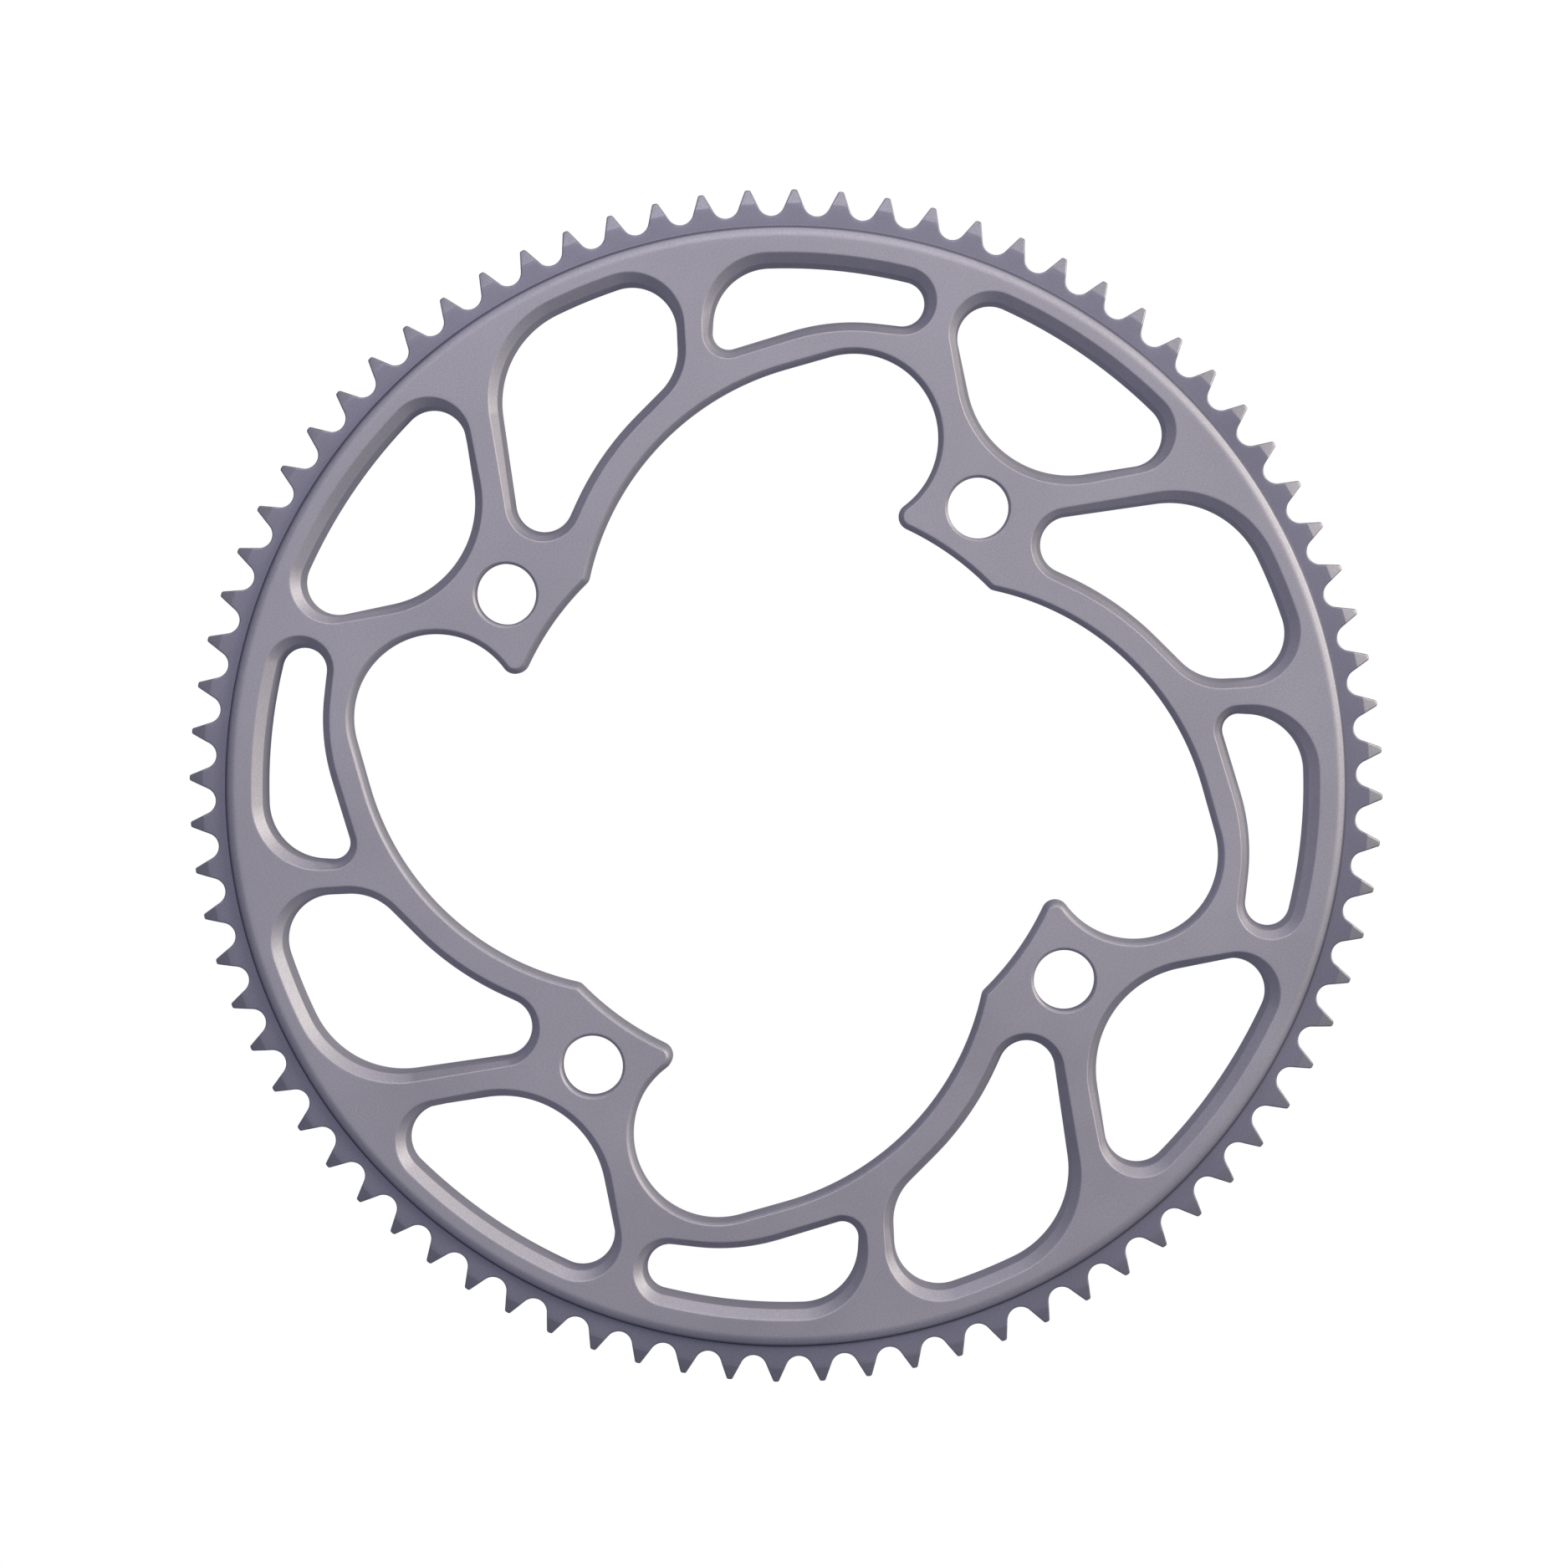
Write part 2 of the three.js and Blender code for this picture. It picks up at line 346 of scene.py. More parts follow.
# one tooth from roller seat to roller seat, drawn in by the inset
def toothOutline(inset):
    halfPitch = math.pi / plate["toothCount"]
    flank = math.radians(plate["flankAngle"])
    pitchRadius = plate["chainPitch"] / (2 * math.sin(halfPitch))
    seatRadius = plate["rollerRadius"] + inset
    crown = plate["tipRadius"] - inset
    seatReach = math.pi / 2 - flank - halfPitch
    flankDistance = pitchRadius * math.sin(flank + halfPitch) - seatRadius

    def onFlank(radius):
        halfAngle = math.pi / 2 - flank - math.acos(flankDistance / radius)
        return cmath.rect(radius, halfPitch - halfAngle)

    half = []
    for step in range(plate["seatSteps"] + 1):
        half.append(pitchRadius + cmath.rect(seatRadius, math.pi - seatReach * step / plate["seatSteps"]))
    crease = plate["creaseWidth"] / 2
    half.append(onFlank(plate["tipBevelStart"] - crease))
    half.append(onFlank(plate["tipBevelStart"] + crease))
    corner = onFlank(crown)
    start = onFlank(crown - plate["tipRounding"])
    end = cmath.rect(crown, halfPitch + (cmath.phase(corner) - halfPitch) * plate["tipFlatShare"])
    for step in range(plate["tipSteps"] + 1):
        along = step / plate["tipSteps"]
        half.append((1 - along) ** 2 * start + 2 * along * (1 - along) * corner + along ** 2 * end)
    turn = cmath.rect(1, halfPitch)
    mirrored = [(point / turn).conjugate() * turn for point in reversed(half)]
    return half + mirrored


# heights of the tooth band's front and back at a radius: the tips are bevelled on both sides
def bandHeights(radius):
    drop = max(0, radius - plate["tipBevelStart"]) * plate["tipBevelSlope"]
    half = plate["bandThickness"] / 2 - drop
    return thickness / 2 - half, thickness / 2 + half


# the outline of a tooth as rings from its front edge to its back edge
def toothRings():
    edge = plate["toothEdge"]
    share = edge / plate["bandThickness"]
    corners = [(edge, 1), (0, 1), (0, 0), (edge, 0)]
    rings = []
    for inset, height in roundedPath(corners, [(1, share), (share, 1)], plate["roundSteps"])[1:-1]:
        ring = []
        for point in toothOutline(inset):
            back, front = bandHeights(abs(point))
            ring.append((point.real, point.imag, back + (front - back) * height))
        rings.append(ring)
    return rings


# the rounded step between the body and the tooth band, as rings across one tooth's sector
def stepRings():
    bandFront = (thickness + plate["bandThickness"]) / 2
    corners = [
        (plate["bodyRadius"] - plate["stepInnerFlat"], thickness),
        (plate["bodyRadius"], thickness),
        (plate["bandInnerRadius"] - plate["stepWidth"], thickness - plate["shoulderDrop"]),
        (plate["bandInnerRadius"], bandFront),
        (plate["bandInnerRadius"] + plate["stepOuterFlat"], bandFront),
    ]
    columns = plate["stepColumns"]
    pitch = 2 * math.pi / plate["toothCount"]
    rings = []
    for radius, height in roundedPath(corners, plate["stepRounding"], plate["roundSteps"]):
        spread = [cmath.rect(radius, pitch * index / columns) for index in range(columns + 1)]
        rings.append([(point.real, point.imag, height) for point in spread])
    return rings


# one tooth with its share of the band and of the step, on both faces
def toothSector():
    bm = bmesh.new()
    tooth = addWall(bm, toothRings(), False)
    frontStep = addWall(bm, stepRings(), False)
    backRings = [[(x, y, thickness - z) for x, y, z in ring] for ring in stepRings()]
    backStep = addWall(bm, backRings, False)
    crease = plate["seatSteps"] + 1
    for edgeRow, footRow in ((tooth[0], frontStep[-1]), (tooth[-1], backStep[-1])):
        last = len(edgeRow) - 1
        bm.faces.new(footRow + edgeRow[last - crease:][::-1] + edgeRow[:crease + 1][::-1])
        for index in range(crease, last // 2):
            mirrored = last - index
            bm.faces.new((edgeRow[index], edgeRow[index + 1], edgeRow[mirrored - 1], edgeRow[mirrored]))
    return bm


# a geometry nodes tree that repeats what it is given around the axle
def repeatTree(material):
    tree = bpy.data.node_groups.new("repeatAroundAxle", "GeometryNodeTree")
    tree.interface.new_socket("Geometry", in_out="INPUT", socket_type="NodeSocketGeometry")
    tree.interface.new_socket("Count", in_out="INPUT", socket_type="NodeSocketInt")
    tree.interface.new_socket("Weld distance", in_out="INPUT", socket_type="NodeSocketFloat")
    tree.interface.new_socket("Geometry", in_out="OUTPUT", socket_type="NodeSocketGeometry")
    nodes = tree.nodes
    links = tree.links
    given = nodes.new("NodeGroupInput")
    given.label = "one repeat"
    result = nodes.new("NodeGroupOutput")
    result.label = "the whole ring"
    places = nodes.new("GeometryNodePoints")
    places.label = "one point for each repeat, all on the axle"
    index = nodes.new("GeometryNodeInputIndex")
    index.label = "number of this repeat"
    step = nodes.new("ShaderNodeMath")
    step.label = "angle between repeats"
    step.operation = "DIVIDE"
    step.inputs[0].default_value = 2 * math.pi
    angle = nodes.new("ShaderNodeMath")
    angle.label = "angle of this repeat"
    angle.operation = "MULTIPLY"
    turn = nodes.new("ShaderNodeCombineXYZ")
    turn.label = "turn about the axle"
    rotation = nodes.new("FunctionNodeEulerToRotation")
    rotation.label = "as a rotation"
    copies = nodes.new("GeometryNodeInstanceOnPoints")
    copies.label = "set around the axle"
    real = nodes.new("GeometryNodeRealizeInstances")
    real.label = "one mesh"
    weld = nodes.new("GeometryNodeMergeByDistance")
    weld.label = "weld the seams"
    paint = nodes.new("GeometryNodeSetMaterial")
    paint.label = "anodised finish"
    paint.inputs["Material"].default_value = material
    upper = [given, places, copies, real, weld, paint, result]
    lower = [index, step, angle, turn, rotation]
    for row, chain in enumerate((upper, lower)):
        for column, node in enumerate(chain):
            node.location = (column * 190, -row * 220)
    links.new(given.outputs["Count"], places.inputs["Count"])
    links.new(given.outputs["Count"], step.inputs[1])
    links.new(step.outputs["Value"], angle.inputs[0])
    links.new(index.outputs["Index"], angle.inputs[1])
    links.new(angle.outputs["Value"], turn.inputs["Z"])
    links.new(turn.outputs["Vector"], rotation.inputs["Euler"])
    links.new(places.outputs["Points"], copies.inputs["Points"])
    links.new(given.outputs["Geometry"], copies.inputs["Instance"])
    links.new(rotation.outputs["Rotation"], copies.inputs["Rotation"])
    links.new(copies.outputs["Instances"], real.inputs["Geometry"])
    links.new(real.outputs["Geometry"], weld.inputs["Geometry"])
    links.new(given.outputs["Weld distance"], weld.inputs["Distance"])
    links.new(weld.outputs["Geometry"], paint.inputs["Geometry"])
    links.new(paint.outputs["Geometry"], result.inputs["Geometry"])
    return tree


# runs the tree on one repeat and returns all of them as one plain mesh
def repeated(bm, tree, name, count):
    mesh = bpy.data.meshes.new(name)
    bm.to_mesh(mesh)
    bm.free()
    holder = bpy.data.objects.new(name, mesh)
    bpy.context.scene.collection.objects.link(holder)
    modifier = holder.modifiers.new("repeat", "NODES")
    modifier.node_group = tree
    sizes = {"Count": count, "Weld distance": weldDistance}
    for item in tree.interface.items_tree:
        if item.item_type == "SOCKET" and item.in_out == "INPUT" and item.name in sizes:
            modifier[item.identifier] = sizes[item.name]
    bpy.context.view_layer.update()
    evaluated = holder.evaluated_get(bpy.context.evaluated_depsgraph_get())
    result = bpy.data.meshes.new_from_object(evaluated)
    bpy.data.objects.remove(holder)
    print(f"{name}: {count} repeats, {len(result.polygons)} faces")
    return result


# joins the teeth and the cuts, then fills the two flat faces between them
def closedPlate(meshes):
    bm = bmesh.new()
    for mesh in meshes:
        bm.from_mesh(mesh)
    bmesh.ops.remove_doubles(bm, verts=bm.verts, dist=weldDistance)
    for height in (thickness * mm, 0):
        border = []
        for edge in bm.edges:
            offFace = max(abs(vert.co.z - height) for vert in edge.verts)
            if edge.is_boundary and offFace < 5 * weldDistance:
                border.append(edge)
        bmesh.ops.triangle_fill(bm, use_beauty=True, use_dissolve=False, edges=border, normal=(0, 0, 1))
    wide = [face for face in bm.faces if len(face.verts) > 4]
    bmesh.ops.triangulate(bm, faces=wide)
    bmesh.ops.recalc_face_normals(bm, faces=bm.faces)
    return bm


# marks how much each vertex stands on a rounded edge, and how much it lies in a hollow corner, where the
# finish paints shade
def markEdges(bm):
    wear = bm.verts.layers.float.new("edgeWear")
    hollow = bm.verts.layers.float.new("hollow")
    lowest = math.radians(plate["softBend"])
    span = math.radians(plate["bendSpan"])
    for vert in bm.verts:
        bends = [edge.calc_face_angle_signed(0) for edge in vert.link_edges]
        vert[wear] = min(1, max(0, (max(bends) - lowest) / span))
        vert[hollow] = min(1, max(0, (-min(bends) - lowest) / span))


# smooth shading whose normals lean towards the larger faces, so flat faces stay flat
def shadeByArea(mesh):
    mesh.shade_smooth()
    areas = np.zeros(len(mesh.polygons))
    normals = np.zeros(len(mesh.polygons) * 3)
    mesh.polygons.foreach_get("area", areas)
    mesh.polygons.foreach_get("normal", normals)
    weighted = normals.reshape(-1, 3) * areas[:, None]
    owners = np.zeros(len(mesh.loops), int)
    corners = np.zeros(len(mesh.polygons), int)
    mesh.loops.foreach_get("vertex_index", owners)
    mesh.polygons.foreach_get("loop_total", corners)
    total = np.zeros((len(mesh.vertices), 3))
    np.add.at(total, owners, np.repeat(weighted, corners, axis=0))
    total /= np.linalg.norm(total, axis=1)[:, None]
    mesh.normals_split_custom_set_from_vertices(total.tolist())


# the one finish; lengths are in millimetres
finish = {
    "bodyColour": (0.462, 0.442, 0.525, 1),
    "bandColour": (0.285, 0.276, 0.366, 1),
    "tipColour": (0.325, 0.313, 0.385, 1),
    "wornColour": (0.62, 0.58, 0.62, 1),
    # painted shade: the dark colour laid into hollow corners, where shade would fall
    "paintedShadeColour": (0.1, 0.097, 0.13, 1),
    "metallic": 0.75,
    "bodyRoughness": 0.6,
    "bandRoughness": 0.5,
    "bandColourBegins": -1,    # from the band's inner radius
    "bandColourEnds": 0.05,
    "tipColourBlend": 0.1,
    "cloudScale": 38,          # noise cells in a metre
    "cloudVariation": 0.06,
    "patchScale": 160,
    "patchLow": 0.42,
    "patchHigh": 0.72,
    "leastRubbing": 0.05,
    "mostRubbing": 0.16,
    "hollowShadeShare": 0.8,        # how much of the painted shade colour a hollow corner takes
    "noiseLow": 0.3,           # the part of a noise's range that is used
    "noiseHigh": 0.7,
    "grainSize": 0.28,
    "grainDepth": 0.012,
    "grainStrength": 0.5,
    "grainVariation": 0.1,
    "roughnessVariation": 0.04,
    "ringSpacing": 0.25,
    "ringDepth": 0.01,
    "ringStrength": 0.1,
    "stampRadius": 89.3,       # where the four small ring stamps are
    "stampAngle": -17.75,      # degrees from a bolt
    "stampSize": 1.9,
    "stampLine": 0.16,
    "stampDepth": 0.05,
    "stampStrength": 0.4,
}


def anodisedAluminium():
    material = bpy.data.materials.new("fineMatteAnodisedAluminium")
    material.use_nodes = True
    nodes = material.node_tree.nodes
    links = material.node_tree.links
    nodes.clear()

    zones = nodes.new("NodeFrame")
    zones.label = "zones: body and tooth band"
    tone = nodes.new("NodeFrame")
    tone.label = "tone: clouds and grain"
    # the edges frame lightens rubbed corners with real wear and darkens hollow corners with painted shade
    edges = nodes.new("NodeFrame")
    edges.label = "edges: rubbed corners and dark hollows"
    relief = nodes.new("NodeFrame")
    relief.label = "relief: blasted grain and turning rings"
    stamp = nodes.new("NodeFrame")
    stamp.label = "four small ring stamps"

    place = nodes.new("ShaderNodeTexCoord")
    place.label = "place on the plate"

    flat = nodes.new("ShaderNodeVectorMath")
    flat.label = "plan view"
    flat.operation = "MULTIPLY"
    flat.inputs[1].default_value = (1, 1, 0)
    flat.parent = zones
    radius = nodes.new("ShaderNodeVectorMath")
    radius.label = "distance from the axle"
    radius.operation = "LENGTH"
    radius.parent = zones
    bandStart = plate["bandInnerRadius"] + finish["bandColourBegins"]
    bandEnd = plate["bandInnerRadius"] + finish["bandColourEnds"]
    band = nodes.new("ShaderNodeMapRange")
    band.label = "tooth band"
    band.inputs["From Min"].default_value = bandStart * mm
    band.inputs["From Max"].default_value = bandEnd * mm
    band.parent = zones
    tips = nodes.new("ShaderNodeMapRange")
    tips.label = "bevelled tips"
    tips.inputs["From Min"].default_value = (plate["tipBevelStart"] - finish["tipColourBlend"]) * mm
    tips.inputs["From Max"].default_value = (plate["tipBevelStart"] + finish["tipColourBlend"]) * mm
    tips.parent = zones
    links.new(place.outputs["Object"], flat.inputs[0])
    links.new(flat.outputs["Vector"], radius.inputs[0])
    links.new(radius.outputs["Value"], band.inputs["Value"])
    links.new(radius.outputs["Value"], tips.inputs["Value"])

    base = nodes.new("ShaderNodeMix")
    base.label = "body or band colour"
    base.data_type = "RGBA"
    base.inputs["A"].default_value = finish["bodyColour"]
    base.inputs["B"].default_value = finish["bandColour"]
    base.parent = tone
    tipped = nodes.new("ShaderNodeMix")
    tipped.label = "lighter tips"
    tipped.data_type = "RGBA"
    tipped.inputs["B"].default_value = finish["tipColour"]
    tipped.parent = tone
    clouds = nodes.new("ShaderNodeTexNoise")
    clouds.label = "uneven dye"
    clouds.inputs["Scale"].default_value = finish["cloudScale"]
    clouds.inputs["Detail"].default_value = 4
    clouds.parent = tone
    cloudTone = nodes.new("ShaderNodeMapRange")
    cloudTone.label = "how much the dye varies"
    cloudTone.inputs["From Min"].default_value = finish["noiseLow"]
    cloudTone.inputs["From Max"].default_value = finish["noiseHigh"]
    cloudTone.inputs["To Min"].default_value = 1 - finish["cloudVariation"]
    cloudTone.inputs["To Max"].default_value = 1 + finish["cloudVariation"]
    cloudTone.parent = tone
    grain = nodes.new("ShaderNodeTexNoise")
    grain.label = "blasted grain"
    grain.inputs["Scale"].default_value = 1 / (finish["grainSize"] * mm)
    grain.inputs["Detail"].default_value = 3
    grain.parent = tone
    grainTone = nodes.new("ShaderNodeMapRange")
    grainTone.label = "speckle of the grain"
    grainTone.inputs["From Min"].default_value = finish["noiseLow"]
    grainTone.inputs["From Max"].default_value = finish["noiseHigh"]
    grainTone.inputs["To Min"].default_value = 1 - finish["grainVariation"]
    grainTone.inputs["To Max"].default_value = 1 + finish["grainVariation"]
    grainTone.parent = tone
    speckle = nodes.new("ShaderNodeMath")
    speckle.label = "clouds and speckle"
    speckle.operation = "MULTIPLY"
    speckle.parent = tone
    toned = nodes.new("ShaderNodeVectorMath")
    toned.label = "toned colour"
    toned.operation = "SCALE"
    toned.parent = tone
    links.new(band.outputs["Result"], base.inputs["Factor"])
    links.new(place.outputs["Object"], clouds.inputs["Vector"])
    links.new(clouds.outputs["Fac"], cloudTone.inputs["Value"])
    links.new(place.outputs["Object"], grain.inputs["Vector"])
    links.new(grain.outputs["Fac"], grainTone.inputs["Value"])
    links.new(cloudTone.outputs["Result"], speckle.inputs[0])
    links.new(grainTone.outputs["Result"], speckle.inputs[1])
    links.new(base.outputs["Result"], tipped.inputs["A"])
    links.new(tips.outputs["Result"], tipped.inputs["Factor"])
    links.new(tipped.outputs["Result"], toned.inputs[0])
    links.new(speckle.outputs["Value"], toned.inputs["Scale"])

    wear = nodes.new("ShaderNodeAttribute")
    wear.label = "rounded edges"
    wear.attribute_name = "edgeWear"
    wear.parent = edges
    patches = nodes.new("ShaderNodeTexNoise")
    patches.label = "where the edges were rubbed"
    patches.inputs["Scale"].default_value = finish["patchScale"]
    patches.inputs["Detail"].default_value = 5
    patches.parent = edges
    rubbed = nodes.new("ShaderNodeMapRange")
    rubbed.label = "rubbing"
    rubbed.inputs["From Min"].default_value = finish["patchLow"]
    rubbed.inputs["From Max"].default_value = finish["patchHigh"]
    rubbed.inputs["To Min"].default_value = finish["leastRubbing"]
    rubbed.inputs["To Max"].default_value = finish["mostRubbing"]
    rubbed.parent = edges
    wornShare = nodes.new("ShaderNodeMath")
    wornShare.label = "worn share"
    wornShare.operation = "MULTIPLY"
    wornShare.parent = edges
    worn = nodes.new("ShaderNodeMix")
    worn.label = "lighter worn edges"
    worn.data_type = "RGBA"
    worn.inputs["B"].default_value = finish["wornColour"]
    worn.parent = edges
    # painted shade: hollow corners are darkened, as if shade fell in them
    hollow = nodes.new("ShaderNodeAttribute")
    hollow.label = "hollow corners"
    hollow.attribute_name = "hollow"
    hollow.parent = edges
    hollowShadeShare = nodes.new("ShaderNodeMath")
    hollowShadeShare.label = "how dark they are"
    hollowShadeShare.operation = "MULTIPLY"
    hollowShadeShare.inputs[1].default_value = finish["hollowShadeShare"]
    hollowShadeShare.parent = edges
    # mixes the painted shade colour into the hollow corners
    paintedHollowShade = nodes.new("ShaderNodeMix")
    paintedHollowShade.label = "dark hollows"
    paintedHollowShade.data_type = "RGBA"
    paintedHollowShade.inputs["B"].default_value = finish["paintedShadeColour"]
    paintedHollowShade.parent = edges
    links.new(place.outputs["Object"], patches.inputs["Vector"])
    links.new(patches.outputs["Fac"], rubbed.inputs["Value"])
    links.new(wear.outputs["Fac"], wornShare.inputs[0])
    links.new(rubbed.outputs["Result"], wornShare.inputs[1])
    links.new(toned.outputs["Vector"], worn.inputs["A"])
    links.new(wornShare.outputs["Value"], worn.inputs["Factor"])
    links.new(hollow.outputs["Fac"], hollowShadeShare.inputs[0])
    links.new(worn.outputs["Result"], paintedHollowShade.inputs["A"])
    links.new(hollowShadeShare.outputs["Value"], paintedHollowShade.inputs["Factor"])

    axes = nodes.new("ShaderNodeSeparateXYZ")
    axes.label = "x and y"
    axes.parent = stamp
    polar = nodes.new("ShaderNodeMath")
    polar.label = "angle about the axle"
    polar.operation = "ARCTAN2"
    polar.parent = stamp
    shifted = nodes.new("ShaderNodeMath")
    shifted.label = "angle from the first stamp"
    shifted.operation = "SUBTRACT"
    shifted.inputs[1].default_value = math.radians(finish["stampAngle"]) - math.pi / cuts["count"]
    shifted.parent = stamp
    folded = nodes.new("ShaderNodeMath")
    folded.label = "folded into one quarter"
    folded.operation = "FLOORED_MODULO"
    folded.inputs[1].default_value = 2 * math.pi / cuts["count"]
    folded.parent = stamp
    centred = nodes.new("ShaderNodeMath")
    centred.label = "centred on the stamp"
    centred.operation = "SUBTRACT"
    centred.inputs[1].default_value = math.pi / cuts["count"]
    centred.parent = stamp
    sideways = nodes.new("ShaderNodeMath")
    sideways.label = "distance along the rim"
    sideways.operation = "MULTIPLY"
    sideways.inputs[1].default_value = finish["stampRadius"] * mm
    sideways.parent = stamp
    outwards = nodes.new("ShaderNodeMath")
    outwards.label = "distance across the rim"
    outwards.operation = "SUBTRACT"
    outwards.inputs[1].default_value = finish["stampRadius"] * mm
    outwards.parent = stamp
    offset = nodes.new("ShaderNodeCombineXYZ")
    offset.label = "place around the stamp"
    offset.parent = stamp
    away = nodes.new("ShaderNodeVectorMath")
    away.label = "distance from the stamp's centre"
    away.operation = "LENGTH"
    away.parent = stamp
    onRing = nodes.new("ShaderNodeMath")
    onRing.label = "near the ring"
    onRing.operation = "COMPARE"
    onRing.inputs[1].default_value = finish["stampSize"] * mm
    onRing.inputs[2].default_value = finish["stampLine"] * mm
    onRing.parent = stamp
    links.new(place.outputs["Object"], axes.inputs["Vector"])
    links.new(axes.outputs["Y"], polar.inputs[0])
    links.new(axes.outputs["X"], polar.inputs[1])
    links.new(polar.outputs["Value"], shifted.inputs[0])
    links.new(shifted.outputs["Value"], folded.inputs[0])
    links.new(folded.outputs["Value"], centred.inputs[0])
    links.new(centred.outputs["Value"], sideways.inputs[0])
    links.new(radius.outputs["Value"], outwards.inputs[0])
    links.new(sideways.outputs["Value"], offset.inputs["X"])
    links.new(outwards.outputs["Value"], offset.inputs["Y"])
    links.new(offset.outputs["Vector"], away.inputs[0])
    links.new(away.outputs["Value"], onRing.inputs[0])

    rings = nodes.new("ShaderNodeTexNoise")
    rings.label = "turning rings"
    rings.noise_dimensions = "1D"
    rings.inputs["Scale"].default_value = 1 / (finish["ringSpacing"] * mm)
    rings.inputs["Detail"].default_value = 2
    rings.parent = relief
    ringRelief = nodes.new("ShaderNodeBump")
    ringRelief.label = "ring relief"
    ringRelief.inputs["Strength"].default_value = finish["ringStrength"]
    ringRelief.inputs["Distance"].default_value = finish["ringDepth"] * mm
    ringRelief.parent = relief
    grainRelief = nodes.new("ShaderNodeBump")
    grainRelief.label = "grain relief"
    grainRelief.inputs["Strength"].default_value = finish["grainStrength"]
    grainRelief.inputs["Distance"].default_value = finish["grainDepth"] * mm
    grainRelief.parent = relief
    stampRelief = nodes.new("ShaderNodeBump")
    stampRelief.label = "pressed rings"
    stampRelief.invert = True
    stampRelief.inputs["Strength"].default_value = finish["stampStrength"]
    stampRelief.inputs["Distance"].default_value = finish["stampDepth"] * mm
    stampRelief.parent = relief
    links.new(radius.outputs["Value"], rings.inputs["W"])
    links.new(rings.outputs["Fac"], ringRelief.inputs["Height"])
    links.new(grain.outputs["Fac"], grainRelief.inputs["Height"])
    links.new(ringRelief.outputs["Normal"], grainRelief.inputs["Normal"])
    links.new(onRing.outputs["Value"], stampRelief.inputs["Height"])
    links.new(grainRelief.outputs["Normal"], stampRelief.inputs["Normal"])

    polish = nodes.new("ShaderNodeMapRange")
    polish.label = "roughness varies with the grain"
    polish.inputs["From Min"].default_value = finish["noiseLow"]
    polish.inputs["From Max"].default_value = finish["noiseHigh"]
    polish.inputs["To Min"].default_value = -finish["roughnessVariation"]
    polish.inputs["To Max"].default_value = finish["roughnessVariation"]
    polish.parent = relief
    zoneRoughness = nodes.new("ShaderNodeMapRange")
    zoneRoughness.label = "body or band roughness"
    zoneRoughness.inputs["To Min"].default_value = finish["bodyRoughness"]
    zoneRoughness.inputs["To Max"].default_value = finish["bandRoughness"]
    zoneRoughness.parent = relief
    roughness = nodes.new("ShaderNodeMath")
    roughness.label = "roughness"
    roughness.parent = relief
    links.new(clouds.outputs["Fac"], polish.inputs["Value"])
    links.new(band.outputs["Result"], zoneRoughness.inputs["Value"])
    links.new(zoneRoughness.outputs["Result"], roughness.inputs[0])
    links.new(polish.outputs["Result"], roughness.inputs[1])

    surface = nodes.new("ShaderNodeBsdfPrincipled")
    surface.label = "anodised aluminium"
    surface.inputs["Metallic"].default_value = finish["metallic"]
    output = nodes.new("ShaderNodeOutputMaterial")
    output.label = "finish"
    links.new(paintedHollowShade.outputs["Result"], surface.inputs["Base Color"])
    links.new(roughness.outputs["Value"], surface.inputs["Roughness"])
    links.new(stampRelief.outputs["Normal"], surface.inputs["Normal"])
    links.new(surface.outputs["BSDF"], output.inputs["Surface"])

    groups = [
        [place],
        [flat, radius, band, tips],
        [axes, polar, shifted, folded, centred, sideways, outwards, offset, away, onRing],
        [clouds, cloudTone, grain, grainTone, base, tipped, speckle, toned],
        [wear, patches, rubbed, wornShare, worn, hollow, hollowShadeShare, paintedHollowShade],
        [rings, ringRelief, grainRelief, stampRelief, polish, zoneRoughness, roughness],
        [surface, output],
    ]
    for column, group in enumerate(groups):
        for row, node in enumerate(group):
            node.location = (column * 320, -row * 210)
    return material


def buildSprocket():
    material = anodisedAluminium()
    tree = repeatTree(material)
    teeth = repeated(toothSector(), tree, "toothBand", plate["toothCount"])
    walls = repeated(quarterCuts(), tree, "cutWalls", cuts["count"])
    bm = closedPlate([teeth, walls])
    markEdges(bm)
    openEdges = sum(1 for edge in bm.edges if not edge.is_manifold)
    mesh = bpy.data.meshes.new(plate["name"])
    bm.to_mesh(mesh)
    bm.free()
    mesh.materials.clear()
    mesh.materials.append(material)
    shadeByArea(mesh)
    triangles = sum(len(polygon.vertices) - 2 for polygon in mesh.polygons)
    print(f"{plate['name']}: {triangles} triangles, {openEdges} open edges")
    piece = bpy.data.objects.new(plate["name"], mesh)
    bpy.context.scene.collection.objects.link(piece)
    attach(piece, "root")
    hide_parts("sprocket")


# the studio: metres and degrees, with angles anticlockwise from the right-hand side of the view
studio = {
    "boltAngle": 55.37,       # where the bolt on +X shows
    "distance": 1.3,
    "width": 266.2,           # millimetres across the view, at the middle of the plate
    "shift": (-0.23, 0.49),   # millimetres from the axle to the middle of the view
    "tilt": 2.2,
    "tiltTowards": 60,
    "sensorWidth": 36,
    "worldColour": (0.8, 0.84, 1.02, 1),
    "worldStrength": 0.235,
    "domeRadius": 6,
    "floorDrop": 0.002,
}
lamps = {
    "keyLamp": {
        "angle": 22,
        "height": 24,
        "distance": 1.6,
        "size": 0.7,
        "power": 17.5,
        "colour": (1, 0.955, 0.75),
    },
    "sideLamp": {
        "angle": 84,
        "height": 28,
        "distance": 1.5,
        "size": 0.8,
        "power": 3.8,
        "colour": (1, 0.97, 0.92),
    },
    "fillLamp": {
        "angle": 105,
        "height": 60,
        "distance": 1,
        "size": 0.6,
        "power": 2.6,
        "colour": (1, 0.98, 0.98),
    },
}


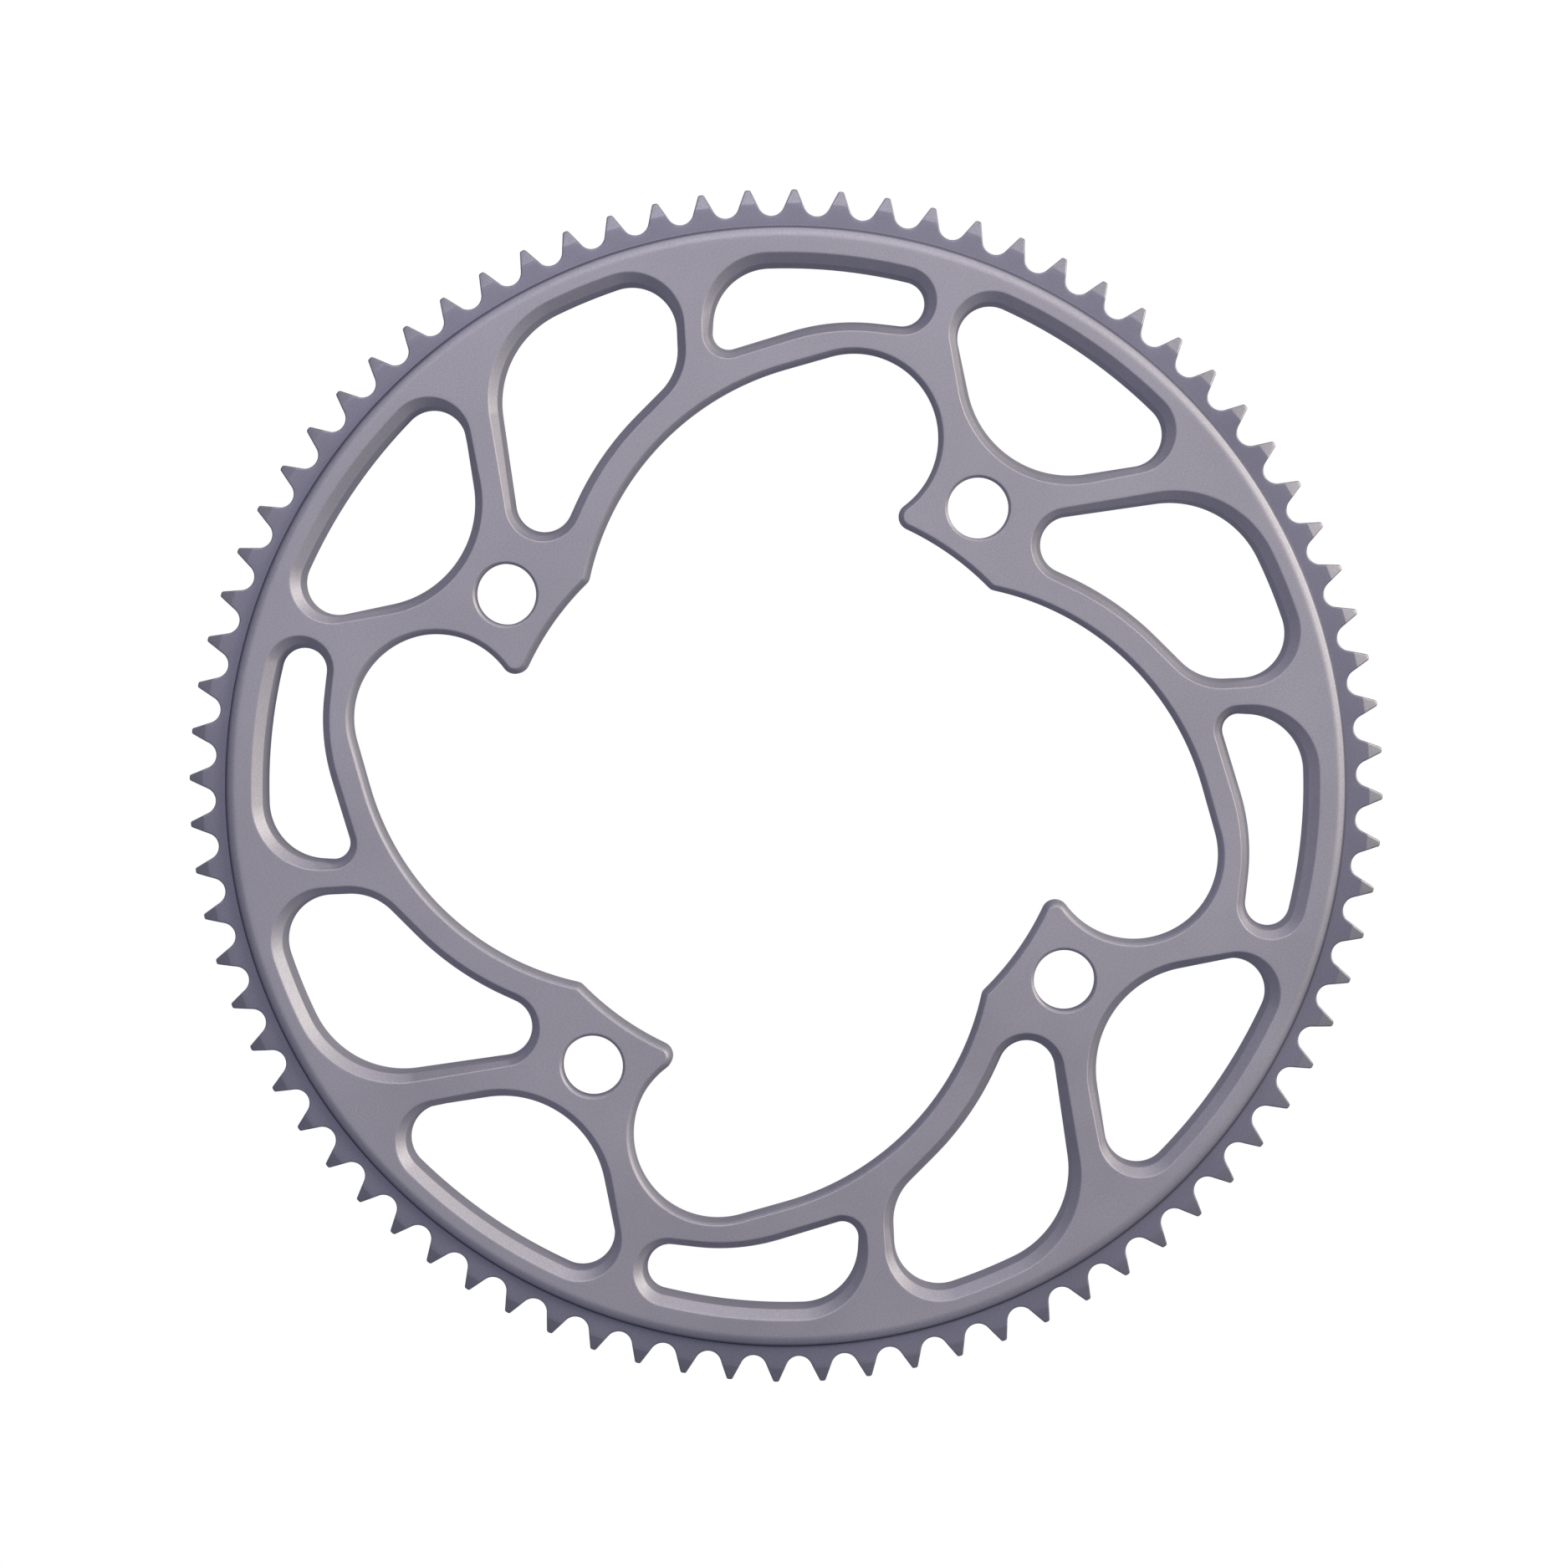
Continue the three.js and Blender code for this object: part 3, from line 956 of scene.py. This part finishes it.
def viewDirection(angle):
    turned = math.radians(angle - studio["boltAngle"])
    return Vector((math.cos(turned), math.sin(turned), 0))


# a place and a turn that face the target
def lookingAt(location, target, up):
    back = (location - target).normalized()
    right = up.cross(back).normalized()
    rotation = Matrix((right, back.cross(right), back)).transposed()
    return Matrix.Translation(location) @ rotation.to_4x4()


def addCamera():
    middle = Vector((0, 0, thickness / 2 * mm))
    across, upwards = studio["shift"]
    target = middle + (viewDirection(0) * across + viewDirection(90) * upwards) * mm
    tilt = math.radians(studio["tilt"])
    lean = viewDirection(studio["tiltTowards"]) * math.sin(tilt) + Vector((0, 0, math.cos(tilt)))
    camera = bpy.data.cameras.new("viewCamera")
    camera.sensor_width = studio["sensorWidth"]
    camera.lens = camera.sensor_width * studio["distance"] / (studio["width"] * mm)
    holder = bpy.data.objects.new("viewCamera", camera)
    holder.matrix_world = lookingAt(target + lean * studio["distance"], target, viewDirection(90))
    bpy.context.scene.collection.objects.link(holder)
    bpy.context.scene.camera = holder


def addLamp(name, setting):
    height = math.radians(setting["height"])
    towards = viewDirection(setting["angle"]) * math.cos(height) + Vector((0, 0, math.sin(height)))
    lamp = bpy.data.lights.new(name, "AREA")
    lamp.shape = "DISK"
    lamp.size = setting["size"]
    lamp.energy = setting["power"]
    lamp.color = setting["colour"]
    holder = bpy.data.objects.new(name, lamp)
    holder.matrix_world = lookingAt(towards * setting["distance"], Vector(), viewDirection(90))
    bpy.context.scene.collection.objects.link(holder)


def addLights():
    for name, setting in lamps.items():
        addLamp(name, setting)
    world = bpy.data.worlds.new("softSurroundings")
    world.use_nodes = True
    background = world.node_tree.nodes["Background"]
    background.inputs["Color"].default_value = studio["worldColour"]
    background.inputs["Strength"].default_value = studio["worldStrength"]
    bpy.context.scene.world = world


# a plain white floor inside a plain white dome, which only the camera sees
def addFloor():
    material = bpy.data.materials.new("whiteFloor")
    material.use_nodes = True
    nodes = material.node_tree.nodes
    nodes.clear()
    glow = nodes.new("ShaderNodeEmission")
    glow.label = "even white"
    glow.inputs["Color"].default_value = (1, 1, 1, 1)
    output = nodes.new("ShaderNodeOutputMaterial")
    output.label = "floor and dome"
    output.location = (200, 0)
    material.node_tree.links.new(glow.outputs["Emission"], output.inputs["Surface"])
    bm = bmesh.new()
    bmesh.ops.create_circle(bm, cap_ends=True, segments=96, radius=studio["domeRadius"])
    bmesh.ops.translate(bm, verts=bm.verts, vec=(0, 0, -studio["floorDrop"]))
    bmesh.ops.create_uvsphere(bm, u_segments=48, v_segments=24, radius=studio["domeRadius"])
    mesh = bpy.data.meshes.new("whiteFloor")
    bm.to_mesh(mesh)
    bm.free()
    mesh.materials.append(material)
    floor = bpy.data.objects.new("whiteFloor", mesh)
    bpy.context.scene.collection.objects.link(floor)
    floor.visible_diffuse = False
    floor.visible_glossy = False
    floor.visible_transmission = False
    floor.visible_shadow = False


addCamera()
addLights()
addFloor()
bpy.context.scene.view_settings.view_transform = "Standard"
print("studio ready")
buildSprocket()
